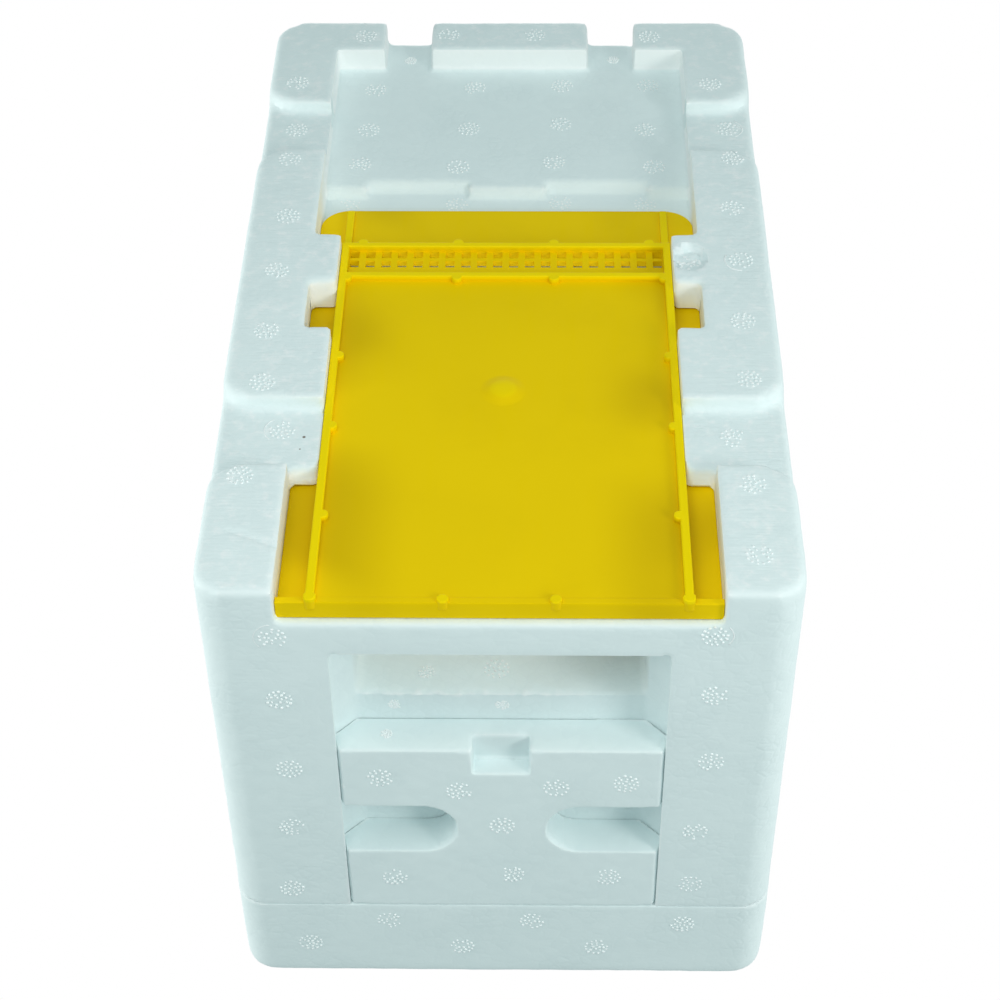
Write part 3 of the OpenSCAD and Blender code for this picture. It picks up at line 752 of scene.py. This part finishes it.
def body_wear(mesh):
    """The leaning walls of the ledges, the torn patch, the chip, the scratch and the flash."""
    points = points_of(mesh)
    normals = normals_of(mesh)
    x, y, z = points.T / MM
    on_ledge = (abs(x) > 45.2) & (abs(x) < 53.6) & (z > LEDGE_FOOT - 0.4)
    for wall, top, lean in LEDGE_WALLS:
        deep = np.clip((top - z) / (top - LEDGE_FOOT), 0, 1)
        near = (1 - smooth(y - wall, 0.5, 5.0)) * (y > wall - 1.5) * on_ledge
        points[:, 1] -= near * deep * lean * MM
        points[:, 2] -= near * (deep > 0.9) * 0.3 * MM
    rough = uneven(points, TEAR_GRAIN, 1.0)
    torn = 1 - smooth(np.hypot(x - TORN_X, (y - TORN_Y) / TORN_LONG) + 0.9 * rough, 3.9, 4.7)
    torn *= (z > 152)
    points[:, 2] -= torn * (1.9 + 0.9 * rough) * MM
    off_chip = np.sqrt((x - CHIP_X) ** 2 + (y - CHIP_Y) ** 2 + (z - CHIP_Z) ** 2)
    chip = 1 - smooth(off_chip, 1.2, 3.2)
    points[:, 1] -= chip * 1.2 * MM
    points[:, 0] += chip * 0.8 * MM
    run = (x - SCRATCH_X) * SCRATCH_RUN_X + (y - SCRATCH_Y) * SCRATCH_RUN_Y
    along = np.clip(run / (SCRATCH_RUN_X ** 2 + SCRATCH_RUN_Y ** 2), 0, 1)
    aside = np.hypot(x - SCRATCH_X - SCRATCH_RUN_X * along, y - SCRATCH_Y - SCRATCH_RUN_Y * along)
    points[:, 2] -= (z > 153.5) * (1 - smooth(aside, 0.3, 1.1)) * SCRATCH_DEPTH * MM
    sill = np.hypot(y - SILL_Y, z - SILL_Z)
    flash = (1 - smooth(sill, 0.6, 2.0)) * (1 - smooth(abs(x - SILL_MIDDLE), 22, 30))
    points += normals * (flash * FLASH_HEIGHT * rough * MM)[:, None]
    put_points(mesh, points)


foam_piece("body_shell", "foam_body", "box", 170000, body_weight, 18, body_wear)

# %% [markdown]
# The lid is a plain tray with no damage. Its lower rim, which is the outer edge of the roof, is the
# roundest edge of the whole box, and everything else is rounded a little less.

# %% Foam lid
LID_RIM = 12 * MM


def lid_weight(points):
    """Full rounding along the rim, less above it."""
    return keep_parting(points) * np.where(points[:, 2] < LID_RIM, 1.0, 0.6)


foam_piece("roof_lid", "foam_lid", "lid", 90000, lid_weight, 22)

# %% [markdown]
# The door block is smaller and finer, so it gets smaller squares. The real one sits snug in its recess,
# while the solid has play all round. So the copy swells into that play behind its face, and less where
# it passes the rough sill and the vent dots of the recess on its way up.

# %% Foam door
DOOR_VOXEL = 0.5 * MM
DOOR_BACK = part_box("entrance_door")[1].y / MM
DOOR_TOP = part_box("entrance_door")[1].z / MM


def door_weight(points):
    """Round edges on the face, rounder ones beside the notch, sharp ones at the back."""
    x, y, z = points.T / MM
    beside_notch = (abs(abs(x) - 7.5) < 3) & (z > DOOR_TOP - 4) & (y < -114)
    outer = (abs(x) > 37) & (y < -118)
    share = np.where(beside_notch, 1.0, np.where(outer, 0.55, 0.22))
    return np.where(y > DOOR_BACK - 2, 0.0, share)


KEY_Y = FRONT_MM + 5.3
PASSING_Z = 63
PASSING_HALF = 32
SWELL_BACK, SWELL_PASSING, SWELL_SIDE = 0.33, 0.18, 0.35
SWELL_SLANT, SWELL_SLANT_MORE = 0.20, 0.28


def door_wear(mesh):
    """Behind its face the door swells into its play, but keeps clear of the rough sill it passes."""
    points = points_of(mesh)
    level = normals_of(mesh)
    level[:, 2] = 0
    length = np.linalg.norm(level, axis=1)
    level /= np.maximum(length, 0.01)[:, None]
    x, y, z = points.T / MM
    passing = (abs(x - SILL_MIDDLE) < PASSING_HALF) & (z > PASSING_Z)
    back = np.where(passing, SWELL_PASSING, SWELL_BACK)
    slant = SWELL_SLANT + SWELL_SLANT_MORE * smooth(y, KEY_Y, DOOR_BACK)
    swell = np.where(level[:, 1] > 0.85, back, np.where(level[:, 1] > 0.6, slant, SWELL_SIDE))
    swell *= smooth(y, FRONT_MM + 0.2, FRONT_MM + 1.4) * (length > 0.5)
    put_points(mesh, points + level * (swell * MM)[:, None])


foam_piece("entrance_door", "foam_door", "door", 60000, door_weight, 16, door_wear,
           DOOR_VOXEL, smooth_foam)

# %% [markdown]
# Every face of the foam carries round patches of tiny raised dots, where the steam vents of the mould
# were. They catch the light, so they are real little domes: two rings and a middle group per patch,
# with some dots missing, and a raised arc round a few. Torn beads fill the damaged patch. Instances of
# one patch would be lighter, but then all patches would look alike.

# %% Helpers for vent marks
RINGS = ((3.0, 13), (1.95, 8), (0.85, 4))
KEPT_DOTS = 0.9
DOT_SIDES = 7
DOT_RADIUS = (0.28, 0.44)
DOT_HEIGHT = (0.22, 0.36)
DOME_STEPS = ((1.0, -0.35), (0.92, 0.35), (0.55, 0.9))
ARC_STEPS = 14
ARC_REACH = 4.5
ARC_SECTION = ((-0.25, -0.1), (0, 0.16), (0.25, -0.1))
CRUMB_RADIUS = (0.35, 0.75)
CRUMB_HEIGHT = (0.2, 0.5)


def face_axes(normal):
    """Two directions along a face with this outward normal."""
    out = Vector(normal)
    side = Vector((0, 1, 0)) if abs(out.x) > 0.5 else Vector((1, 0, 0))
    return side, out.cross(side), out


def add_dot(work, centre, axes, radius, height):
    """A closed low dome that is sunk a little into the foam."""
    side, rise, out = axes
    turns = [2 * math.pi * k / DOT_SIDES for k in range(DOT_SIDES)]
    rings = []
    for share, lift in DOME_STEPS:
        reach = radius * share
        rings.append([work.verts.new(centre + (side * math.cos(t) + rise * math.sin(t)) * reach
                                     + out * (height * lift)) for t in turns])
    for low, high in zip(rings, rings[1:]):
        for k in range(DOT_SIDES):
            n = (k + 1) % DOT_SIDES
            work.faces.new((low[k], low[n], high[n], high[k]))
    work.faces.new(rings[-1])
    work.faces.new(list(reversed(rings[0])))


def add_mark(work, dice, place, normal, size=1.0, rise=1.0):
    """One patch of dots, place in millimetres, rise as a share of the usual height."""
    axes = face_axes(normal)
    centre = Vector(place) * MM
    spin = dice.uniform(0, math.tau)
    for ring, count in RINGS:
        for k in range(count):
            turn = spin + math.tau * k / count + dice.uniform(-0.06, 0.06)
            reach = (ring * size + dice.uniform(-0.12, 0.12)) * MM
            radius = dice.uniform(*DOT_RADIUS) * MM
            height = dice.uniform(*DOT_HEIGHT) * rise * MM
            if dice.random() < KEPT_DOTS:
                spot = centre + (axes[0] * math.cos(turn) + axes[1] * math.sin(turn)) * reach
                add_dot(work, spot, axes, radius, height)


def add_arc(work, place, normal, start, sweep):
    """A thin raised arc round a patch, where the vent stood proud of the mould."""
    side, rise, out = face_axes(normal)
    ribs = []
    for k in range(ARC_STEPS + 1):
        turn = math.radians(start + sweep * k / ARC_STEPS)
        away = side * math.cos(turn) + rise * math.sin(turn)
        centre = Vector(place) * MM + away * (ARC_REACH * MM)
        ribs.append([work.verts.new(centre + away * (a * MM) + out * (h * MM))
                     for a, h in ARC_SECTION])
    for low, high in zip(ribs, ribs[1:]):
        for k in range(3):
            n = (k + 1) % 3
            work.faces.new((low[k], low[n], high[n], high[k]))
    work.faces.new(list(reversed(ribs[0])))
    work.faces.new(ribs[-1])


def add_crumbs(work, dice, place, normal, reach, count):
    """Torn beads that stand up in a patch."""
    axes = face_axes(normal)
    for _ in range(count):
        turn = dice.uniform(0, math.tau)
        away = reach * math.sqrt(dice.random())
        spot = Vector(place) + axes[0] * (away * math.cos(turn))
        spot += axes[1] * (TORN_LONG * away * math.sin(turn))
        radius = dice.uniform(*CRUMB_RADIUS) * MM
        add_dot(work, spot * MM, axes, radius, dice.uniform(*CRUMB_HEIGHT) * MM)


def vent_marks(name, body, marks, seed, arcs=(), crumbs=()):
    """One object with all the marks of a body."""
    dice = random.Random(seed)
    work = bmesh.new()
    for mark in marks:
        add_mark(work, dice, *mark)
    for arc in arcs:
        add_arc(work, *arc)
    for patch in crumbs:
        add_crumbs(work, dice, *patch)
    mesh = bpy.data.meshes.new(name)
    work.to_mesh(mesh)
    work.free()
    mesh.shade_smooth()
    # The paler foam of the dots is a painted highlight.
    mesh.materials.append(vent_foam_highlighted)
    piece = bpy.data.objects.new(name, mesh)
    scene.collection.objects.link(piece)
    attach(piece, body)
    print(name, "marks", len(marks), "faces", len(mesh.polygons))


print("vent helpers ready, dots in a whole patch", sum(count for _, count in RINGS))

# %% [markdown]
# Patches that show in the photo keep their places, in millimetres, and the other walls continue the same
# spacing with a little scatter. A mark may be smaller than usual, and it is lower where the slide and the
# door pass over it.

# %% Vent marks
UP, DOWN, FRONT, BACK = (0, 0, 1), (0, 0, -1), (0, -1, 0), (0, 1, 0)
LEFT, RIGHT = (-1, 0, 0), (1, 0, 0)
SIDE_MM = cad_high.x / MM
FOOT_TOP, GROOVE_FLOOR, RIM_FLOOR, SLIDE_FLOOR = 154.5, 150.5, 146.5, 143.8
LOW_DOTS = 0.5
LID_MIDDLE = 17


def on_front(spots):
    """Marks on the front wall, from x and z."""
    return [((x, FRONT_MM, z), FRONT) for x, z in spots]


def on_top(height, spots):
    """Marks on a level face, from x and y."""
    return [((x, y, height), UP) for x, y in spots]


wall_dice = random.Random(11)


def scatter(value, reach):
    """A value with a little scatter."""
    return value + wall_dice.uniform(-reach, reach)


body_marks = on_front([(-54.0, 138.9), (50.9, 140.2), (-54.1, 116.5), (52.2, 118.8), (-53.6, 89.9),
                       (52.7, 93.6), (-54.6, 66.1), (50.2, 65.0), (-56.6, 39.4), (50.1, 42.4)])
body_marks += on_top(FOOT_TOP, [(-44.6, 115.0), (-18.9, 115.6), (7.8, 115.6), (43.1, 114.5),
                                (-63.7, 88.8), (60.6, 88.4), (-62.9, 49.4), (65.1, 50.2),
                                (-61.1, 22.0), (-62.1, -2.4), (-62.8, -28.0), (-61.9, -48.9),
                                (63.3, 26.1), (64.3, 2.4), (63.1, -23.7), (63.1, -47.1),
                                (-64.1, -83.7), (61.4, -86.2), (61.4, -110.5)])
body_marks += on_top(GROOVE_FLOOR, [(-62.8, 69.9), (64.9, 70.7), (-55.9, -62.8), (58.1, -65.2)])
body_marks += on_top(RIM_FLOOR, [(-40.9, 97.2), (-10.5, 98.3), (16.2, 99.5), (42.6, 99.5),
                                 (-41.9, 75.8), (-11.9, 76.4), (15.5, 79.0), (40.9, 75.9),
                                 (-43.5, 58.3), (-14.6, 56.9), (13.6, 59.4), (42.9, 57.0)])
small_marks = on_top(RIM_FLOOR, [(-30.9, 113.4), (32.2, 114.0)])
body_marks += [(place, out, 0.55) for place, out in small_marks]
passed_marks = on_top(SLIDE_FLOOR, [(-45.1, 42.8), (-14.6, 41.9), (15.3, 42.9), (39.9, 42.5)])
body_marks += [(place, out, 1.0, LOW_DOTS) for place, out in passed_marks]
body_marks += on_top(SILL_Z, [(-1.2, -104.3)])
body_marks += [((-19.1, -105.5, SILL_Z), UP, 0.6), ((-26.8, SILL_Y, 102.4), FRONT, 0.5, LOW_DOTS),
               ((0.2, SILL_Y, 102.3), FRONT, 0.5, LOW_DOTS)]
for z in (48, 78, 108, 138):
    for y in (-98, -60, -22, 18, 58, 97):
        for side, out in ((-SIDE_MM, LEFT), (SIDE_MM, RIGHT)):
            body_marks.append(((side, scatter(y, 3), scatter(z, 3)), out))
    for x in (-50, -17, 16, 50):
        body_marks.append(((scatter(x, 3), REAR_MM, scatter(z, 3)), BACK))
lid_marks = on_front([(-31.1, 25.0), (7.9, 25.0), (48.9, 24.1), (-53.2, 14.4), (-11.4, 13.0),
                      (25.7, 13.0)])
for y in (-92, -50, -8, 35, 78):
    for side, out in ((-SIDE_MM, LEFT), (SIDE_MM, RIGHT)):
        lid_marks.append(((side, scatter(y, 4), scatter(LID_MIDDLE, 3)), out))
    for x in (-50, -17, 16, 50):
        lid_marks.append(((scatter(x, 4), scatter(y, 4), 0), DOWN))
for x in (-46, -8, 30):
    lid_marks.append(((x, REAR_MM, scatter(LID_MIDDLE, 3)), BACK))
door_marks = on_front([(-30.8, 86.5), (-10.8, 81.4), (13.9, 82.9), (31.7, 84.7), (0.1, 67.0),
                       (-28.7, 44.7), (2.6, 46.3), (28.1, 45.3)])
door_marks.append(((-29.0, -118.0, 97.3), UP, 0.4))
body_arcs = [((-54.0, FRONT_MM, 138.9), FRONT, 95, 130), ((50.9, FRONT_MM, 140.2), FRONT, -40, 80),
             ((64.3, 2.4, FOOT_TOP), UP, 150, 120), ((64.9, 70.7, GROOVE_FLOOR), UP, -60, 120),
             ((-55.9, -62.8, GROOVE_FLOOR), UP, 120, 110)]
torn_patch = [((TORN_X, 3.4, 152.3), UP, 3.1, 46)]
vent_marks("vent_dots_body", "box", body_marks, 3, body_arcs, torn_patch)
vent_marks("vent_dots_lid", "lid", lid_marks, 5)
vent_marks("vent_dots_door", "door", door_marks, 7)

# %% [markdown]
# The slide is thin moulded plastic, whose edges are only broken by a fraction of a millimetre, apart
# from the lip, which rolls over. A bevel suits it. Its ventilation holes sit so close together that
# they stay sharp, so the bevel goes by edge weight, and the edges of the holes get none. The thumb dome
# swells out of the panel without an edge, so its points are lifted along a smooth step. The copy is a
# fifth of a millimetre wider on each side, because the real slide sits snug between its ledges.

# %% Floor slide
OUTWARD = math.radians(30)


def break_edges(piece, width, segments, share):
    """Bevels the outward edges of a copy, each by its share of the width, and settles the mesh."""
    work = bmesh.new()
    work.from_mesh(piece.data)
    marks = work.edges.layers.float.new("bevel_weight_edge")
    for edge in work.edges:
        if len(edge.link_faces) == 2 and edge.calc_face_angle_signed() > OUTWARD:
            edge[marks] = share(edge)
    work.to_mesh(piece.data)
    work.free()
    bevel = piece.modifiers.new("broken_edges", "BEVEL")
    bevel.limit_method = "WEIGHT"
    bevel.width = width
    bevel.segments = segments
    bevel.use_clamp_overlap = False
    mesh = settle(piece)
    mesh.shade_flat()
    return mesh


LIP_BREAK = 1.2 * MM
LIP_LENGTH = 15 * MM
EDGE_SHARE = 0.3
slide = plain_copy("floor_slide", "floor_slide_moulding")
slide_low, slide_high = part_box("floor_slide")
GRILLE_FROM, GRILLE_TO = 5.0 * MM, 13.05 * MM
PANEL_HALF = 43.3 * MM
PANEL_TOP = slide_high.z - 1.7 * MM
DOME_PLACE = Vector((0, -45.64 * MM))
DOME_REACH = 6.0 * MM
DOME_RISE = 0.9 * MM
SNUG = 1.004
RIB_HALF = 45.35 * MM
RIB_SNUG = 1.0072


def slide_edge(edge):
    """Full width along the lip, none at the holes, a part of the width elsewhere."""
    middle = (edge.verts[0].co + edge.verts[1].co) / 2
    if GRILLE_FROM < middle.y < GRILLE_TO and abs(middle.x) < PANEL_HALF and middle.z < PANEL_TOP:
        return 0.0
    at_lip = middle.y < slide_low.y + 1.0 * MM and middle.z > PANEL_TOP - 1.0 * MM
    return 1.0 if at_lip and edge.calc_length() > LIP_LENGTH else EDGE_SHARE


slide_mesh = break_edges(slide, LIP_BREAK, 3, slide_edge)
points = points_of(slide_mesh)
away = np.hypot(points[:, 0] - DOME_PLACE.x, points[:, 1] - DOME_PLACE.y) / DOME_REACH
on_dome = (away < 1.001) & (points[:, 2] > PANEL_TOP - 0.5 * MM)
floor_z = points[on_dome, 2].min()
rib_side = abs(abs(points[:, 0]) - RIB_HALF) < 0.4 * MM
points[:, 0] *= np.where(rib_side, RIB_SNUG, SNUG)
points[on_dome, 2] = floor_z + DOME_RISE * (1 - smooth(away[on_dome], 0.40, 1.0))
put_points(slide_mesh, points)
for face in slide_mesh.polygons:
    face.use_smooth = all(on_dome[k] for k in face.vertices)
slide_mesh.materials.append(slide_yellow)
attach(slide, "slide")
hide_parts("floor_slide")
print("slide dome points", int(on_dome.sum()), "faces", len(slide_mesh.polygons))

# %% [markdown]
# Most pieces inside are right as solids. They keep their nodes and get a finish and a small broken
# edge from a weld and a bevel modifier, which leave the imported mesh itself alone. The sawn bars are full
# of nail holes, where such a bevel would go wrong, so they are copies whose long edges alone are broken.

# %% Inside pieces
LONG_EDGE = 4.0 * MM
BAR_BREAK = 0.5 * MM
TUB_BREAK = 0.3 * MM
PLATE_BREAK = 0.2 * MM
WAX_BREAK = 0.3 * MM
CORNER = math.radians(40)


def dress(node, finish, edge):
    """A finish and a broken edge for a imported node."""
    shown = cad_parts[node]
    shown.data.materials.clear()
    shown.data.materials.append(finish)
    if edge:
        weld = shown.modifiers.new("weld", "WELD")
        weld.merge_threshold = WELD
        broken = shown.modifiers.new("broken_edges", "BEVEL")
        broken.width = edge
        broken.segments = 2
        broken.limit_method = "ANGLE"
        broken.angle_limit = CORNER


def sawn(node, finish):
    """A copy of a wooden solid with its long edges broken."""
    piece = plain_copy(node, node + "_sawn")
    mesh = break_edges(piece, BAR_BREAK, 2, lambda edge: float(edge.calc_length() > LONG_EDGE))
    mesh.materials.append(finish)
    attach(piece, "box")
    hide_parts(node)


for place in ("front", "middle", "rear"):
    sawn("top_bar_" + place, wood_across)
    sawn("bottom_bar_" + place, wood_across)
    sawn("side_bars_" + place, wood_upright)
    dress("wax_strip_" + place, beeswax, WAX_BREAK)
dress("feeder_tub", feeder_yellow, TUB_BREAK)
dress("feeder_excluder", feeder_yellow, PLATE_BREAK)
dress("frame_cover_sheet", clear_sheet, 0)
dress("feeder_cover_sheet", clear_sheet, 0)
dress("frame_nails", nail_steel, 0)
print("dressed nodes", sum(1 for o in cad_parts.values() if not o.hide_render))
